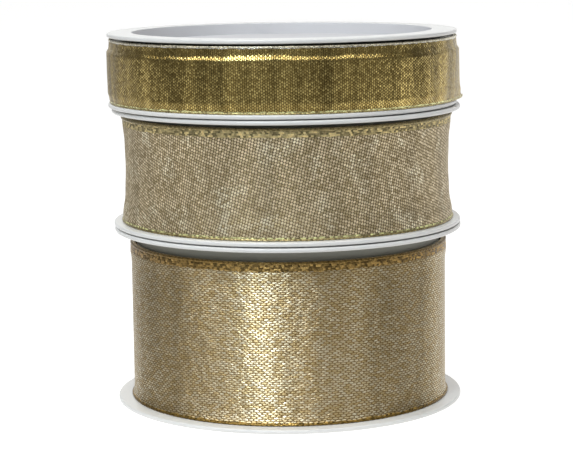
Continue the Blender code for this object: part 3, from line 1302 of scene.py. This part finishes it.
class SPOOLS_OT_stage(bpy.types.Operator):
    """Stand the stack on a pale floor in soft light, and aim the camera"""

    bl_idname = "spools.stage"
    bl_label = "Set the stage"

    def execute(self, context):
        settings = context.scene.stage
        deselect_all()
        bpy.ops.mesh.primitive_plane_add(size=2 * settings.floor_half, location=(0.0, 0.0, CAD_BOX[0][2]))
        floor = context.object
        floor.name = "floor"
        table = lit_acrylic(
            "lit opal acrylic", settings.floor, settings.floor_front, settings.surround, settings.glow
        )
        floor.data.materials.append(table)
        self.add_surround(settings)
        self.add_lights()
        self.add_camera(context, settings)
        context.scene.view_settings.view_transform = "Standard"
        return {"FINISHED"}

    def add_surround(self, settings):
        """A pale room that is brighter behind the stack than on the camera's side."""
        world = bpy.data.worlds.new("pale room")
        bpy.context.scene.world = world
        world.use_nodes = True
        tree = world.node_tree
        tree.nodes.clear()
        towards = add_node(tree, "ShaderNodeTexCoord").outputs["Generated"]
        window = (math.sin(ROOM_TURN), math.cos(ROOM_TURN), 0.0)
        facing = add_node(
            tree, "ShaderNodeVectorMath", {0: towards, 1: window}, operation="DOT_PRODUCT"
        )
        strength = add_node(
            tree, "ShaderNodeMapRange",
            {
                "Value": facing.outputs["Value"], "From Min": ROOM_EDGE[0], "From Max": ROOM_EDGE[1],
                "To Min": ROOM_BRIGHTNESS[0], "To Max": ROOM_BRIGHTNESS[1],
            },
            interpolation_type="SMOOTHSTEP",
        )
        background = add_node(
            tree, "ShaderNodeBackground",
            {"Color": rgba(settings.surround), "Strength": strength.outputs["Result"]},
        )
        add_node(tree, "ShaderNodeOutputWorld", {"Surface": background.outputs["Background"]})

    def add_lights(self):
        """A small bright key at the front left, two strips that glint along the narrow ribbon's
        shoulder, a broad softbox overhead and a weak one at the right."""
        middle = Vector((0.0, 0.0, STACK_HEIGHT / 2))
        for name, side, height, distance, size, power, tint in SOFTBOXES:
            lamp = bpy.data.lights.new(name, "AREA")
            lamp.shape = "RECTANGLE"
            lamp.size, lamp.size_y = size
            lamp.energy = power
            lamp.color = linear(tint)
            obj = bpy.data.objects.new(name, lamp)
            bpy.context.scene.collection.objects.link(obj)
            azimuth, elevation = math.radians(side), math.radians(height)
            back = Vector((
                math.sin(azimuth) * math.cos(elevation),
                -math.cos(azimuth) * math.cos(elevation),
                math.sin(elevation),
            ))
            obj.location = middle + back * distance
            obj.rotation_euler = (-back).to_track_quat("-Z", "Y").to_euler()

    def add_camera(self, context, settings):
        lens = bpy.data.cameras.new("camera")
        lens.lens = settings.lens
        camera = bpy.data.objects.new("camera", lens)
        context.scene.collection.objects.link(camera)
        camera.location = (settings.camera_side, -settings.camera_distance, settings.camera_height)
        drop = math.atan2(settings.camera_height - settings.aim_height, settings.camera_distance)
        pitch = Matrix.Rotation(math.pi / 2 - drop, 4, "X")
        turn = pitch @ Matrix.Rotation(settings.roll, 4, "Z")
        camera.rotation_euler = turn.to_euler()
        context.scene.camera = camera


class SPOOLS_PT_panel(bpy.types.Panel):
    """Lists the steps in the sidebar"""

    bl_label = "Ribbon spools"
    bl_idname = "SPOOLS_PT_panel"
    bl_space_type = "VIEW_3D"
    bl_region_type = "UI"
    bl_category = "Ribbon spools"

    def draw(self, context):
        for step in STEPS:
            self.layout.operator(step.bl_idname)


STEPS = (
    SPOOLS_OT_flanges,
    SPOOLS_OT_cores,
    SPOOLS_OT_rolls,
    SPOOLS_OT_tails,
    SPOOLS_OT_edges,
    SPOOLS_OT_stage,
)
GROUPS = {
    "flange": FlangeSettings,
    "wide_ribbon": WideRibbonSettings,
    "medium_ribbon": MediumRibbonSettings,
    "narrow_ribbon": NarrowRibbonSettings,
    "stage": StageSettings,
}


def register():
    for cls in (*GROUPS.values(), *STEPS, SPOOLS_PT_panel):
        bpy.utils.register_class(cls)
    for name, group in GROUPS.items():
        setattr(bpy.types.Scene, name, PointerProperty(type=group))


def unregister():
    for name in GROUPS:
        delattr(bpy.types.Scene, name)
    for cls in (SPOOLS_PT_panel, *reversed(STEPS), *GROUPS.values()):
        bpy.utils.unregister_class(cls)


def main():
    register()
    bpy.ops.spools.flanges()
    bpy.ops.spools.cores()
    bpy.ops.spools.rolls()
    bpy.ops.spools.tails()
    bpy.ops.spools.edges()
    bpy.ops.spools.stage()


if __name__ == "__main__":
    main()
